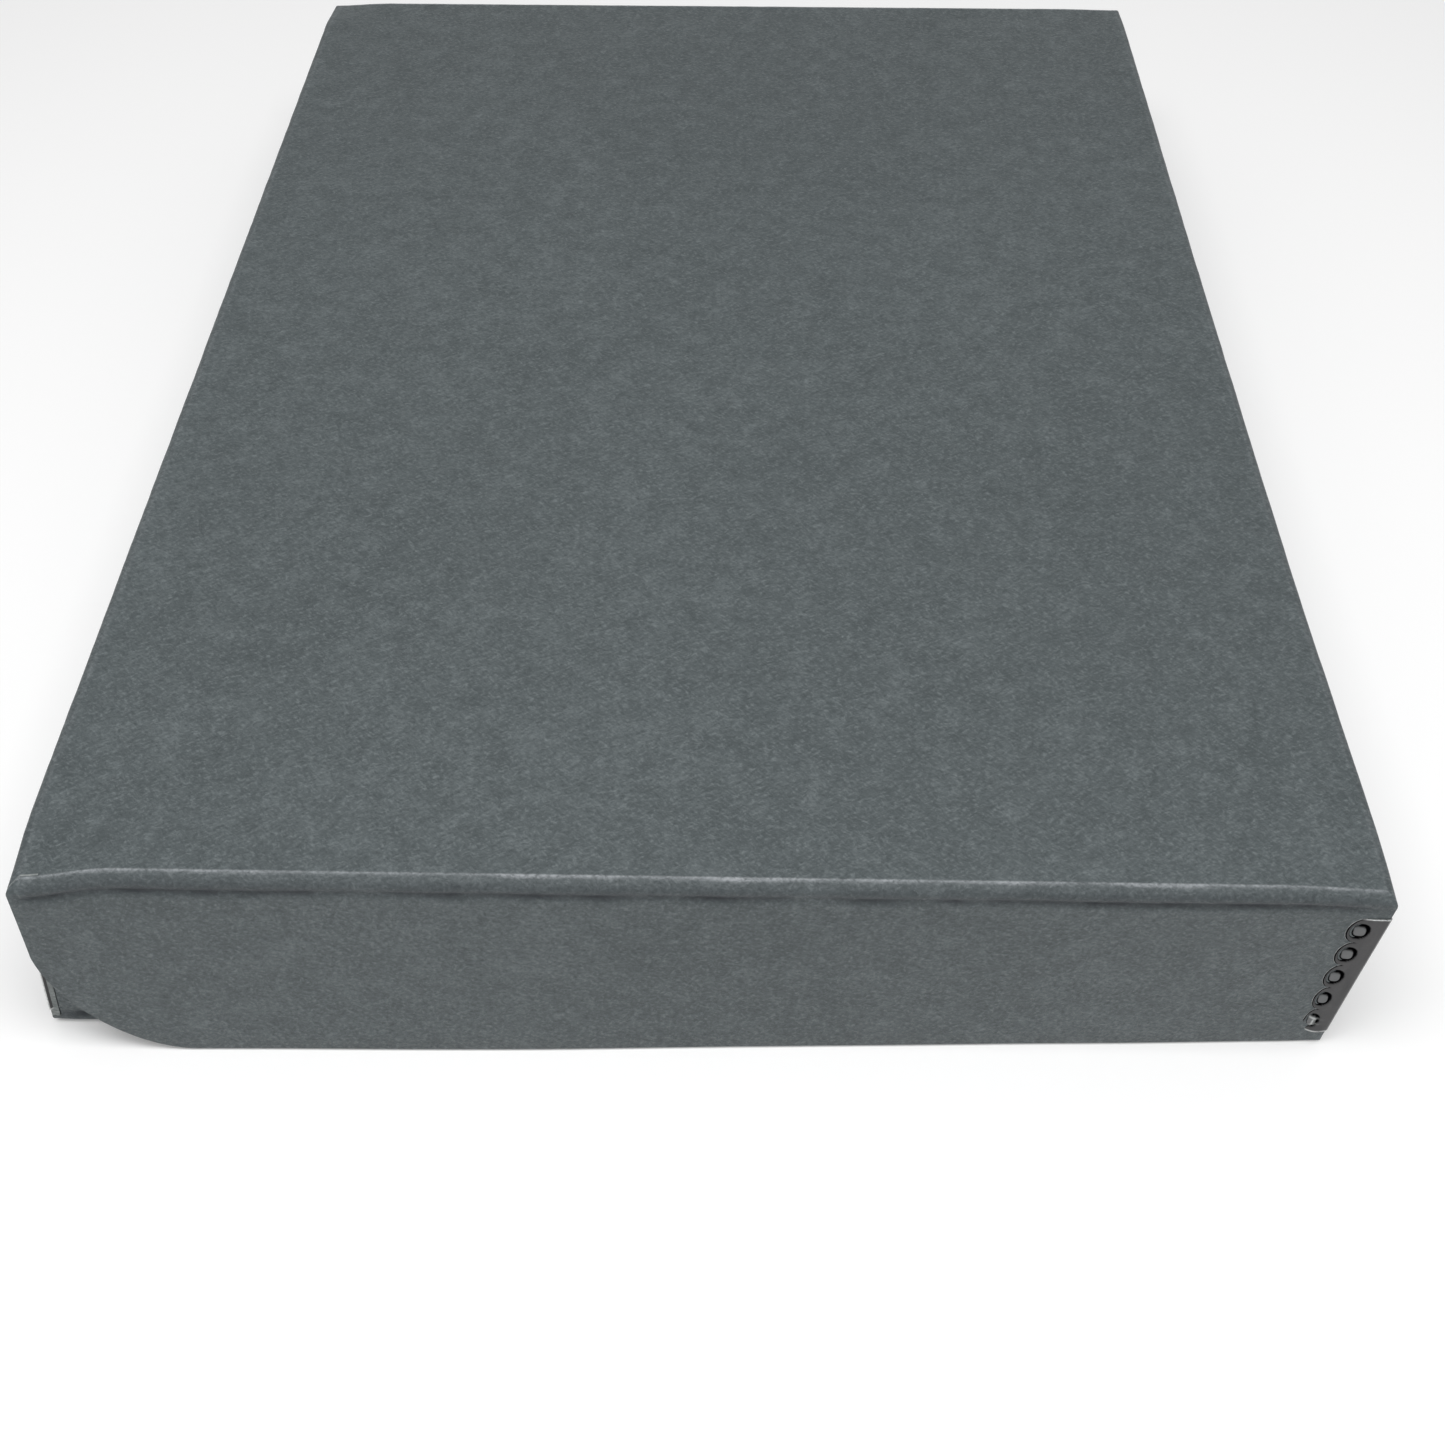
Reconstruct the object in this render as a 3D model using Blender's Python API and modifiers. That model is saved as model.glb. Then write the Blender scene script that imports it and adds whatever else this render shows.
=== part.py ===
"""Archival folio box: a clamshell box of creased barrier board, held at its corners by metal stays.

Metres, +Z up. The origin is the centre of the underside. The spine, where the lid hinges, is at -X and
the opening side is at +X. The two ends are at -Y (near) and +Y (far). The lid is as deep as the tray and
its walls hang outside the tray's walls. The tray's opening side is a drop front, folded down flat on the
table once the lid no longer holds it up.
"""

import math

import bmesh
import bpy
from mathutils import Vector

# The whole box
WIDTH = 0.2286  # outside of the lid, spine to opening side (9 in)
LENGTH = 0.3048  # outside of the lid, end to end (12 in)
HEIGHT = 0.0445  # table to lid top (1.75 in)
BOARD = 0.0015  # 60-point board
FOLD_RADIUS = 0.0011  # rounding of a creased fold
FOLD_SEGMENTS = 3
LID_CREASE_INSET = 0.0008  # middle of the lid's hinge crease, in from the outer faces
FRONT_CREASE_INSET = 0.0005  # middle of the drop front's crease, in from the outer faces
PLAY = 0.0018  # free space between a tray wall and the lid wall outside it
GAP = 0.0003  # clearance between pieces that touch
LID_LIFT = 0.0005  # lid's lower edge above the table
TRAY_HEIGHT = 0.0420  # top of the tray walls above the table

# Relief at the hinge end of the lid's end walls, which lets them swing past the spine corners
RELIEF_LENGTH = 0.024  # along the wall
RELIEF_HEIGHT = 0.0263  # up the wall's free end
RELIEF_POWER = 1.8  # 2 would be an ellipse, 1 a straight cut
RELIEF_STEPS = 10

# Metal stays
SHEET = 0.00035  # steel strip
LEAF = 0.0065  # width of a leaf over its teeth
BAND = 0.0038  # width of a leaf between its teeth
TEETH = 5
PITCH = 0.0070
TOOTH_STEPS = 8
STAY_LENGTH = TEETH * PITCH
STAY_BOTTOM = 0.0041  # lower end of a stay above the table
PRONG_AT = 0.0046  # prong's centre from the corner, in the middle of each tooth
PRONG_WIDTH = 0.0016
PRONG_HOOK = 0.0018  # clinched length on the inner face
SLOT_MARGIN = 0.0010  # slot cutter beyond the board's faces

# Derived places
LID_X = WIDTH / 2
LID_Y = LENGTH / 2
TRAY_FRONT_X = LID_X - BOARD - PLAY
TRAY_Y = LID_Y - BOARD - PLAY
LID_WALL_TOP = HEIGHT - BOARD - GAP
SPINE_TOP = LID_WALL_TOP - 0.0003  # the lid panel's inner corner swings past it
TRAY_WALL_BOTTOM = BOARD + GAP
STAY_STANDOFF = GAP + SHEET
PRONG_REACH = SHEET + GAP + BOARD + GAP + SHEET

# Surfaces: linear colour, roughness, metallic
BOARD_LID = ((0.118, 0.140, 0.147), 0.78, 0.0)
BOARD_TRAY = ((0.106, 0.125, 0.130), 0.80, 0.0)
BOARD_FRONT = ((0.112, 0.132, 0.138), 0.80, 0.0)
PAINTED_STEEL = ((0.072, 0.071, 0.074), 0.45, 0.4)


def clear_scene():
    for old in list(bpy.data.objects):
        bpy.data.objects.remove(old, do_unlink=True)


def new_collection(name):
    collection = bpy.data.collections.new(name)
    bpy.context.scene.collection.children.link(collection)
    return collection


def paint(obj, surface):
    """Gives an object a material of its own, named after it."""
    colour, roughness, metallic = surface
    made = bpy.data.materials.new(obj.name)
    made.use_nodes = True
    shader = made.node_tree.nodes["Principled BSDF"]
    shader.inputs["Base Color"].default_value = (*colour, 1.0)
    shader.inputs["Roughness"].default_value = roughness
    shader.inputs["Metallic"].default_value = metallic
    obj.data.materials.clear()
    obj.data.materials.append(made)


def mesh_object(name, mesh, collection):
    obj = bpy.data.objects.new(name, mesh)
    collection.objects.link(obj)
    return obj


def add_block(shape, low, high):
    """Adds a rectangular solid between two corners to a bmesh."""
    low, high = Vector(low), Vector(high)
    corners = bmesh.ops.create_cube(shape, size=1.0)["verts"]
    bmesh.ops.scale(shape, vec=high - low, verts=corners)
    bmesh.ops.translate(shape, vec=(low + high) / 2, verts=corners)


def blocks(name, corner_pairs, collection):
    """One object holding a rectangular solid for each pair of corners."""
    shape = bmesh.new()
    for low, high in corner_pairs:
        add_block(shape, low, high)
    mesh = bpy.data.meshes.new(name)
    shape.to_mesh(mesh)
    shape.free()
    return mesh_object(name, mesh, collection)


def outline_plate(name, points, thickness, collection):
    """A flat outline in local XY, extruded evenly to both sides, as a welded mesh."""
    curve = bpy.data.curves.new(name, "CURVE")
    curve.dimensions = "2D"
    curve.fill_mode = "BOTH"
    curve.extrude = thickness / 2
    spline = curve.splines.new("POLY")
    spline.points.add(len(points) - 1)
    for point, (x, y) in zip(spline.points, points):
        point.co = (x, y, 0.0, 1.0)
    spline.use_cyclic_u = True
    drawn = mesh_object(name + "_outline", curve, collection)
    seen = drawn.evaluated_get(bpy.context.evaluated_depsgraph_get())
    mesh = bpy.data.meshes.new_from_object(seen)
    bpy.data.objects.remove(drawn, do_unlink=True)
    mesh.name = name
    shape = bmesh.new()
    shape.from_mesh(mesh)
    bmesh.ops.remove_doubles(shape, verts=shape.verts, dist=1e-6)
    bmesh.ops.recalc_face_normals(shape, faces=shape.faces)
    shape.to_mesh(mesh)
    shape.free()
    return mesh_object(name, mesh, collection)


def keep_as_tool(obj):
    obj.hide_render = True
    obj.display_type = "WIRE"


def boolean(obj, tool, operation):
    modifier = obj.modifiers.new(operation.lower(), "BOOLEAN")
    modifier.operation = operation
    modifier.solver = "EXACT"
    modifier.object = tool


def round_edges(obj, chosen):
    """Rounds the edges for which chosen(first corner, second corner) is true."""
    mesh = obj.data
    weights = mesh.attributes.new("bevel_weight_edge", "FLOAT", "EDGE")
    for edge in mesh.edges:
        ends = [mesh.vertices[i].co for i in edge.vertices]
        weights.data[edge.index].value = 1.0 if chosen(*ends) else 0.0
    modifier = obj.modifiers.new("fold", "BEVEL")
    modifier.limit_method = "WEIGHT"
    modifier.width = FOLD_RADIUS
    modifier.segments = FOLD_SEGMENTS


def attach(obj, pivot):
    """Parents an object to an unrotated pivot without moving it."""
    obj.parent = pivot
    obj.location = obj.location - pivot.location


def pivot_empty(name, place, collection):
    empty = bpy.data.objects.new(name, None)
    empty.empty_display_size = 0.02
    empty.location = place
    collection.objects.link(empty)
    return empty


def relief_curve():
    """The rounded cut at an end wall's hinge end, from the free end down to the lower edge."""
    points = []
    for step in range(RELIEF_STEPS + 1):
        turn = math.pi / 2 * step / RELIEF_STEPS
        along = 1 - math.cos(turn) ** (2 / RELIEF_POWER)
        up = 1 - math.sin(turn) ** (2 / RELIEF_POWER)
        points.append((RELIEF_LENGTH * along - LID_X, RELIEF_HEIGHT * up + LID_LIFT))
    return points


def lid_end_wall(name, middle_y, collection):
    """A lid wall at the near or far end, with its relief at the hinge."""
    outline = [(LID_X, LID_LIFT), (LID_X, LID_WALL_TOP), (-LID_X, LID_WALL_TOP)] + relief_curve()
    wall = outline_plate(name, outline, BOARD, collection)
    wall.rotation_euler = (math.pi / 2, 0.0, 0.0)
    wall.location = (0.0, middle_y, 0.0)
    return wall


def leaf_outline():
    """One leaf of a stay: straight at the corner, one rounded lobe for each tooth."""
    points = [(0.0, STAY_LENGTH), (0.0, 0.0)]
    for tooth in range(TEETH):
        for step in range(TOOTH_STEPS):
            turn = math.pi * step / TOOTH_STEPS
            out = BAND + (LEAF - BAND) * math.sin(turn)
            points.append((out, PITCH * (tooth + (1 - math.cos(turn)) / 2)))
    points.append((BAND, STAY_LENGTH))
    return points


def tooth_middles():
    return [PITCH * (tooth + 0.5) for tooth in range(TEETH)]


def prong_blocks():
    """Legs through the board and their clinched hooks, on both leaves, around a corner at the origin."""
    pairs = []
    for middle in tooth_middles():
        low, high = middle - PRONG_WIDTH / 2, middle + PRONG_WIDTH / 2
        start = PRONG_AT - SHEET / 2
        leg_end, hook_end = start + SHEET, start + PRONG_HOOK
        pairs.append(((start, SHEET / 2, low), (leg_end, PRONG_REACH, high)))
        pairs.append(((leg_end - SHEET / 2, PRONG_REACH - SHEET, low), (hook_end, PRONG_REACH, high)))
    return pairs + [(swap_xy(low), swap_xy(high)) for low, high in pairs]


def swap_xy(place):
    return (place[1], place[0], place[2])


def slot_blocks():
    """Cutters for the slots that the prongs pass through, with clearance all round."""
    pairs = []
    for middle in tooth_middles():
        half_high = PRONG_WIDTH / 2 + GAP
        half_wide = SHEET / 2 + GAP
        low = (PRONG_AT - half_wide, SHEET + GAP - SLOT_MARGIN, middle - half_high)
        high = (PRONG_AT + half_wide, PRONG_REACH + SLOT_MARGIN, middle + half_high)
        pairs.append((low, high))
    return pairs + [(swap_xy(low), swap_xy(high)) for low, high in pairs]


def stay_mesh(tools):
    """The angle strip with its prongs, as one mesh around a corner at the origin."""
    leaf = leaf_outline()
    first = outline_plate("leaf_along_x", leaf, SHEET, tools)
    first.rotation_euler = (math.pi / 2, 0.0, 0.0)
    first.location = (0.0, SHEET / 2, 0.0)
    second = outline_plate("leaf_along_y", leaf, SHEET, tools)
    second.rotation_euler = (math.pi / 2, 0.0, math.pi / 2)
    second.location = (SHEET / 2, 0.0, 0.0)
    prongs = blocks("prongs", prong_blocks(), tools)
    whole = blocks("stay_corner", [((0.0, 0.0, 0.0), (SHEET, SHEET, STAY_LENGTH))], tools)
    for tool in (first, second, prongs):
        boolean(whole, tool, "UNION")
        whole.modifiers[-1].use_self = True
        keep_as_tool(tool)
    bpy.context.view_layer.update()
    seen = whole.evaluated_get(bpy.context.evaluated_depsgraph_get())
    mesh = bpy.data.meshes.new_from_object(seen)
    for tool in (whole, first, second, prongs):
        bpy.data.objects.remove(tool, do_unlink=True)
    return mesh


def stays(collection, tools):
    """The four stays and, under the same names, the cutters for their slots."""
    corners = {
        "stay_spine_near": (-LID_X - STAY_STANDOFF, -TRAY_Y - STAY_STANDOFF, 0),
        "stay_front_near": (LID_X + STAY_STANDOFF, -LID_Y - STAY_STANDOFF, 1),
        "stay_front_far": (LID_X + STAY_STANDOFF, LID_Y + STAY_STANDOFF, 2),
        "stay_spine_far": (-LID_X - STAY_STANDOFF, TRAY_Y + STAY_STANDOFF, 3),
    }
    shared = stay_mesh(tools)
    made, cutters = {}, {}
    for name, (x, y, quarter_turns) in corners.items():
        cutter = blocks(name + "_slots", slot_blocks(), tools)
        stay = mesh_object(name, shared.copy(), collection)
        for obj in (stay, cutter):
            obj.location = (x, y, STAY_BOTTOM)
            obj.rotation_euler = (0.0, 0.0, quarter_turns * math.pi / 2)
        keep_as_tool(cutter)
        paint(stay, PAINTED_STEEL)
        made[name], cutters[name] = stay, cutter
    return made, cutters


def tray(collection, cutters):
    """The fixed part of the tray: bottom, spine wall and two end walls."""
    bottom = blocks(
        "tray_bottom", [((-LID_X, -TRAY_Y, 0.0), (TRAY_FRONT_X, TRAY_Y, BOARD))], collection
    )
    round_edges(bottom, lambda a, b: a.z < BOARD / 2 and b.z < BOARD / 2)
    spine = blocks(
        "spine_wall",
        [((-LID_X, -TRAY_Y, TRAY_WALL_BOTTOM), (BOARD - LID_X, TRAY_Y, SPINE_TOP))],
        collection,
    )
    boolean(spine, cutters["stay_spine_near"], "DIFFERENCE")
    boolean(spine, cutters["stay_spine_far"], "DIFFERENCE")
    end_low_x = -LID_X + BOARD + GAP
    end_high_x = TRAY_FRONT_X - BOARD - GAP
    pieces = [bottom, spine]
    ends = (("tray_near_wall", -1, "stay_spine_near"), ("tray_far_wall", 1, "stay_spine_far"))
    for name, side, stay in ends:
        low_y, high_y = sorted((side * TRAY_Y, side * (TRAY_Y - BOARD)))
        corners = ((end_low_x, low_y, TRAY_WALL_BOTTOM), (end_high_x, high_y, TRAY_HEIGHT))
        wall = blocks(name, [corners], collection)
        boolean(wall, cutters[stay], "DIFFERENCE")
        pieces.append(wall)
    for piece in pieces:
        paint(piece, BOARD_TRAY)


def drop_front(collection):
    """The tray's opening side, which folds outwards about the crease at the bottom's front edge."""
    crease = (TRAY_FRONT_X - FRONT_CREASE_INSET, 0.0, FRONT_CREASE_INSET)
    pivot = pivot_empty("front_pivot", crease, collection)
    low = (TRAY_FRONT_X - BOARD, -TRAY_Y, TRAY_WALL_BOTTOM)
    high = (TRAY_FRONT_X, TRAY_Y, TRAY_HEIGHT)
    wall = blocks("drop_front_wall", [(low, high)], collection)
    paint(wall, BOARD_FRONT)
    attach(wall, pivot)


def lid(collection, cutters, made_stays):
    """The lid: panel, two end walls, front wall and the two front stays, on the crease at the spine."""
    crease = (LID_CREASE_INSET - LID_X, 0.0, HEIGHT - LID_CREASE_INSET)
    pivot = pivot_empty("lid_pivot", crease, collection)
    panel_bottom = HEIGHT - BOARD
    panel = blocks(
        "lid_panel", [((-LID_X, -LID_Y, panel_bottom), (LID_X, LID_Y, HEIGHT))], collection
    )
    round_edges(panel, lambda a, b: a.z > panel_bottom + BOARD / 2 and b.z > panel_bottom + BOARD / 2)
    front_y = LID_Y - BOARD - GAP
    front = blocks(
        "lid_front_wall",
        [((LID_X - BOARD, -front_y, LID_LIFT), (LID_X, front_y, LID_WALL_TOP))],
        collection,
    )
    boolean(front, cutters["stay_front_near"], "DIFFERENCE")
    boolean(front, cutters["stay_front_far"], "DIFFERENCE")
    near = lid_end_wall("lid_near_wall", BOARD / 2 - LID_Y, collection)
    boolean(near, cutters["stay_front_near"], "DIFFERENCE")
    far = lid_end_wall("lid_far_wall", LID_Y - BOARD / 2, collection)
    boolean(far, cutters["stay_front_far"], "DIFFERENCE")
    for piece in (panel, front, near, far):
        paint(piece, BOARD_LID)
        attach(piece, pivot)
    for name in ("stay_front_near", "stay_front_far"):
        attach(made_stays[name], pivot)


def main():
    clear_scene()
    collection = new_collection("archival_box")
    tools = new_collection("cutters")
    made_stays, cutters = stays(collection, tools)
    tray(collection, cutters)
    drop_front(collection)
    lid(collection, cutters, made_stays)


main()
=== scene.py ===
"""Looks of the archival box: folded barrier board, its cut edges and creases, painted metal stays."""

import math

import bmesh
import bpy
from mathutils import Matrix, Vector, noise


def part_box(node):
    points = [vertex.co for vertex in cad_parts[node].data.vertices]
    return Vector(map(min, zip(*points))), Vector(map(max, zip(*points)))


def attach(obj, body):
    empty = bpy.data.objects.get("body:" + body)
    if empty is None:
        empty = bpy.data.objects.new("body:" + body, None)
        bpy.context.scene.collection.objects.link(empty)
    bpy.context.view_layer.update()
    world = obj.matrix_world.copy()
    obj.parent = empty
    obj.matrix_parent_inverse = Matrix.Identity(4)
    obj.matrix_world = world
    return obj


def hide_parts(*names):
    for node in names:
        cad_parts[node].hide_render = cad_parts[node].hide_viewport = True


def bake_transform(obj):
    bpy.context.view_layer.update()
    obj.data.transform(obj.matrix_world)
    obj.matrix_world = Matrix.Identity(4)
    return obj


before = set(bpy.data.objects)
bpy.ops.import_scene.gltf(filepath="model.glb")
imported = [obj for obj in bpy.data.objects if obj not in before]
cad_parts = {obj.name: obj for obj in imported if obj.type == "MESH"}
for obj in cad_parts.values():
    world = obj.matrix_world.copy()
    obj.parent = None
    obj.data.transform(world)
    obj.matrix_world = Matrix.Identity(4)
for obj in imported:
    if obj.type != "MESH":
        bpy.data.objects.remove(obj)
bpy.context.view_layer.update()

MM = 0.001

# Places read from the frame
PANEL_LOW, PANEL_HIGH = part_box("lid_panel")
_, BOTTOM_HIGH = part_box("tray_bottom")
LID_WALL_LOW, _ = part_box("lid_front_wall")
_, TRAY_WALL_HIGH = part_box("tray_near_wall")
BOARD = PANEL_HIGH.z - PANEL_LOW.z
LID_X = PANEL_HIGH.x
LID_Y = PANEL_HIGH.y
TOP = PANEL_HIGH.z
TRAY_FRONT = BOTTOM_HIGH.x
TRAY_Y = BOTTOM_HIGH.y
LID_DEPTH = TOP - LID_WALL_LOW.z

# Folds
LID_RADIUS = 2.2 * MM
TRAY_RADIUS = 1.8 * MM
SEAM = 3.0 * MM  # flat board between a hinge fold's arc and the seam to its neighbour
ARC_STEPS = 10
CREASE_ROWS = [0.3 * MM, 0.6 * MM, 0.9 * MM, 1.2 * MM, 1.6 * MM, 2.1 * MM, 2.8 * MM, 3.6 * MM]
WALL_ROWS = 9
MITRE_STEPS = 3
COLUMN = 2.0 * MM
ROW = 4.0 * MM
BUTT_GAP = 0.2 * MM
LID_SEED, HINGE_SEED, TRAY_SEED = 1, 9, 21  # of the unevenness along each fold

TINY = 0.01 * MM  # places closer than this count as one

# What use has done to a fold
NOSE = 0.12 * MM  # height of the swelling at the end of the arc
RIDGE = 0.09 * MM  # height of the ridge above the arc
GROOVE = 0.42 * MM  # depth of the lower crease
GROOVE_BELOW = 0.8 * MM  # distance of the lower crease below the arc
WRINKLE = 0.07 * MM
CREASED = 6.0 * MM  # distance below the arc from which the wall is plain
LITTLE_RUBBED = 0.15  # wear and painted highlight of the folds along the box's long sides, as a share of the end folds'

# Relief at the hinge end of the lid's end walls, as in the CAD
RELIEF_LENGTH = 24.0 * MM
RELIEF_HEIGHT = 26.3 * MM
RELIEF_POWER = 1.8
RELIEF_STEPS = 26
EAR_START = 0.05 * MM  # lid end wall's free end, in from the spine's outer face

# How a used box departs from square
NEAR_SPLAY = 2.5 * MM  # lower edge of the lid's near wall, out from square
FREE_SPLAY = 3.8 * MM  # and as much again at its free end by the spine
FAR_SHARE = 0.6  # the far wall's splay as a share of the near wall's
END_SPLAY = 0.9 * MM  # the same at the front end, where the stay holds it
FRONT_LEAN = 2.8 * MM  # lower edge of the lid's front wall, in from square
CORNER_FLARE = 1.0 * MM  # the lid's near front corner, out from square
FLARE_LENGTH = 85 * MM  # of the front side, from the near end, over which that fades out
FRONT_BOW = 0.3 * MM  # middle of the lid's front side, in from straight
DROP_LEAN = 1.2 * MM  # upper edge of the drop front, in from square
SPINE_LEAN = 3.4 * MM  # lower edge of the spine, out from square
TRAY_SPREAD = 4.4 * MM  # lower spine corners of the tray, out from square
CORNER_DROOP = 1.5 * MM  # corners of the lid's panel, down from flat
CORNER_SPLAY = 1.3 * MM  # upper edge of its end walls at the corners, out from square
CORNER_WIDTH = 18 * MM  # of the panel along X and Y that droops and spreads
CORNER_LENGTH = 14 * MM
FRONT_SHARE = 0.3  # the front corners' droop and splay as a share of the spine corners'
PANEL_WAVE = 0.25 * MM
CUT_BEVEL = 0.25 * MM

# Metal stays
SHEET = 0.35 * MM
LEAF = 6.5 * MM
BAND = 3.8 * MM
TEETH = 5
PITCH = 7.0 * MM
STAY_LENGTH = TEETH * PITCH
PROUD = 0.3 * MM  # a stay's outer face above the board


def smooth(t):
    t = min(1.0, max(0.0, t))
    return t * t * (3 - 2 * t)


def bell(distance, width):
    return math.exp(-((distance / width) ** 2))


def wave(a, b, seed):
    """Smooth noise, about -1 to 1."""
    return noise.noise(Vector((a, b, seed * 7.31)))


def spaced(start, end, step):
    count = max(1, round(abs(end - start) / step))
    return [start + (end - start) * i / count for i in range(count + 1)]


# ---------------------------------------------------------------- materials


MIX_A, MIX_B, MIX_RESULT = 6, 7, 2  # the colour sockets of a Mix node
WHITE = (1.0, 1.0, 1.0, 1.0)


class Nodes:
    """Short hand for building one material's node tree."""

    def __init__(self, name):
        self.material = bpy.data.materials.new(name)
        self.material.use_nodes = True
        self.tree = self.material.node_tree
        self.shader = self.tree.nodes["Principled BSDF"]
        self.place = self.add("ShaderNodeTexCoord").outputs["Object"]

    def add(self, kind, **settings):
        node = self.tree.nodes.new(kind)
        for key, value in settings.items():
            setattr(node, key, value)
        return node

    def feed(self, socket, value):
        if isinstance(value, bpy.types.NodeSocket):
            self.tree.links.new(value, socket)
        else:
            socket.default_value = value

    def math(self, operation, a, b=0.0, clamp=False):
        node = self.add("ShaderNodeMath", operation=operation, use_clamp=clamp)
        self.feed(node.inputs[0], a)
        self.feed(node.inputs[1], b)
        return node.outputs[0]

    def stretched(self, vector, scale, turn=(0.0, 0.0, 0.0)):
        node = self.add("ShaderNodeMapping", vector_type="TEXTURE")
        self.feed(node.inputs["Vector"], vector)
        node.inputs["Rotation"].default_value = turn
        node.inputs["Scale"].default_value = [1 / number for number in scale]
        return node.outputs[0]

    def noise(self, vector, scale, detail=2.0, roughness=0.5, colour=False):
        node = self.add("ShaderNodeTexNoise")
        self.feed(node.inputs["Vector"], vector)
        node.inputs["Scale"].default_value = scale
        node.inputs["Detail"].default_value = detail
        node.inputs["Roughness"].default_value = roughness
        return node.outputs["Color" if colour else "Fac"]

    def band(self, value, low, high, to_low=0.0, to_high=1.0):
        node = self.add("ShaderNodeMapRange", clamp=True)
        self.feed(node.inputs["Value"], value)
        ends = {"From Min": low, "From Max": high, "To Min": to_low, "To Max": to_high}
        for key, number in ends.items():
            node.inputs[key].default_value = number
        return node.outputs[0]

    def mix(self, share, a, b):
        """Colour a at share 0, colour b at share 1."""
        node = self.add("ShaderNodeMix", data_type="RGBA")
        self.feed(node.inputs["Factor"], share)
        self.feed(node.inputs[MIX_A], a)
        self.feed(node.inputs[MIX_B], b)
        return node.outputs[MIX_RESULT]

    def attribute(self, name):
        return self.add("ShaderNodeAttribute", attribute_name=name).outputs["Fac"]

    def bump(self, height, distance, strength=1.0):
        node = self.add("ShaderNodeBump")
        self.feed(node.inputs["Height"], height)
        node.inputs["Distance"].default_value = distance
        node.inputs["Strength"].default_value = strength
        self.feed(self.shader.inputs["Normal"], node.outputs[0])

    def shine(self, roughness, metallic=0.0, specular=0.5):
        self.feed(self.shader.inputs["Roughness"], roughness)
        self.feed(self.shader.inputs["Metallic"], metallic)
        self.shader.inputs["Specular IOR Level"].default_value = specular


def rgb(r, g, b):
    """A display colour, 0 to 255, as linear light."""
    def linear(c):
        c /= 255
        return c / 12.92 if c <= 0.04045 else ((c + 0.055) / 1.055) ** 2.4

    return (linear(r), linear(g), linear(b), 1.0)


def fibre_layers(made):
    """(felt, hairs): a leathery felt of matted fibres, and the few light ones that lie on top."""
    swirl = made.noise(made.place, 380.0, 2.0, 0.5, colour=True)
    shift = made.add("ShaderNodeVectorMath", operation="SCALE")
    made.feed(shift.inputs[0], swirl)
    shift.inputs["Scale"].default_value = 0.0013
    bent = made.add("ShaderNodeVectorMath", operation="ADD")
    made.feed(bent.inputs[0], made.place)
    made.feed(bent.inputs[1], shift.outputs[0])
    bent = bent.outputs[0]
    one = made.noise(made.stretched(bent, (520, 1900, 1500), (0.0, 0.4, 0.45)), 1.0, 4.0, 0.68)
    other = made.noise(made.stretched(bent, (580, 2100, 1650), (0.0, -0.5, -0.7)), 1.0, 4.0, 0.68)
    felt = made.math("MULTIPLY", made.math("ADD", one, other), 0.5)
    ridge = made.math("SUBTRACT", 0.5, made.math("ABSOLUTE", made.math("SUBTRACT", one, other)))
    patches = made.noise(made.place, 300.0, 2.0, 0.5)
    where = made.band(patches, 0.50, 0.68)
    hairs = made.math("MULTIPLY", made.band(ridge, 0.470, 0.498), where, clamp=True)
    return felt, hairs


def board_material(name, base, deep, light, rub_highlight, shade_dirt_colour):
    """Barrier board: dyed solid board, felted, rubbed light along its folds with a painted highlight
    there, and darkened in the creases below them by painted shade with some grime.
    """
    made = Nodes(name)
    felt, hairs = fibre_layers(made)
    cloud = made.noise(made.place, 11.0, 5.0, 0.62)
    mottle = made.noise(made.place, 210.0, 3.0, 0.6)
    colour = made.mix(made.band(cloud, 0.38, 0.62, 0.0, 0.26), base, deep)
    colour = made.mix(made.band(mottle, 0.50, 0.30, 0.0, 0.42), colour, deep)
    colour = made.mix(made.band(mottle, 0.52, 0.74, 0.0, 0.26), colour, light)
    colour = made.mix(made.band(felt, 0.50, 0.36, 0.0, 0.85), colour, deep)
    colour = made.mix(made.band(felt, 0.51, 0.65, 0.0, 0.70), colour, light)
    colour = made.mix(made.math("MULTIPLY", hairs, 0.40), colour, light)
    rough = made.band(felt, 0.36, 0.58, 0.25, 1.0)
    # Fold lightening: rubbed wear of the fibres plus a painted highlight along the top of each fold's
    # arc.
    wear_highlight = made.math("MULTIPLY", made.attribute("fold"), rough, clamp=True)
    colour = made.mix(wear_highlight, colour, rub_highlight)
    # Painted shade in the creases below the folds, with some grime, patchy with the mottle.
    patchy = made.band(mottle, 0.38, 0.60, 0.55, 1.1)
    shade_dirt = made.math("MULTIPLY", made.attribute("crease"), patchy, clamp=True)
    colour = made.mix(shade_dirt, colour, shade_dirt_colour)
    made.feed(made.shader.inputs["Base Color"], colour)
    made.shine(made.band(felt, 0.35, 0.65, 0.62, 0.50), specular=0.5)
    made.shader.inputs["Sheen Weight"].default_value = 0.04
    made.shader.inputs["Sheen Roughness"].default_value = 0.4
    height = made.math("ADD", felt, made.math("MULTIPLY", hairs, 0.08))
    height = made.math("ADD", height, made.math("MULTIPLY", mottle, 0.45))
    made.bump(height, 0.00050, 0.75)
    return made.material


def cut_edge_material():
    """Board where it was cut: the same pulp, lighter and layered."""
    made = Nodes("board_cut_edge")
    layers = made.noise(made.stretched(made.place, (900, 900, 2600)), 1.0, 3.0, 0.6)
    lumps = made.noise(made.place, 900.0, 3.0, 0.6)
    colour = made.mix(made.band(layers, 0.35, 0.70), rgb(112, 117, 117), rgb(150, 154, 153))
    colour = made.mix(made.band(lumps, 0.55, 0.80, 0.0, 0.4), colour, rgb(176, 178, 176))
    made.feed(made.shader.inputs["Base Color"], colour)
    made.shine(0.85, specular=0.3)
    made.bump(made.math("ADD", layers, lumps), 0.0002, 0.6)
    return made.material


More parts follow.
